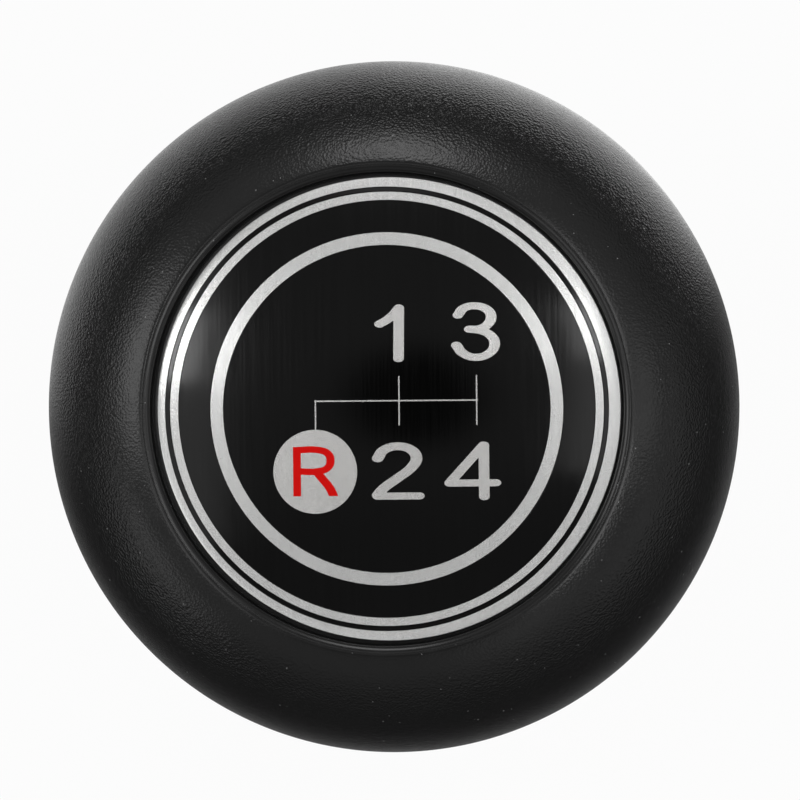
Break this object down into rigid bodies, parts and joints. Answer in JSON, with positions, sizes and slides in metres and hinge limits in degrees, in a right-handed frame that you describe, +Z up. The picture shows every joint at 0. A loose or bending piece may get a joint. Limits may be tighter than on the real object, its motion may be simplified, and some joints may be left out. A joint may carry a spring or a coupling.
{
  "type": "gear shift knob",
  "caption": "Pear-shaped gear lever knob in grained black plastic, with a domed round shift-pattern plate let into its crown and a threaded brass insert in its foot.",
  "frame": {"origin": "centre of the flat foot that the knob stands on, on the axis of its thread", "axes": "+Z up the knob's axis towards the shift plate, +Y towards the top of the shift pattern, +X to its right"},
  "size_m": [0.045, 0.045, 0.0488],
  "materials": {
    "grip_plastic": "black moulded plastic with a fine leather grain, smooth at the lip and the foot",
    "plate_aluminium": "brushed in one direction, with a black field between the raised bands",
    "adhesive_film": "translucent white double-sided film",
    "insert_brass": "turned and straight knurled"
  },
  "bodies": {
    "root": {"knob_body": "grip_plastic", "shift_plate": "plate_aluminium", "adhesive_disc": "adhesive_film", "threaded_insert": "insert_brass"}
  },
  "joints": []
}
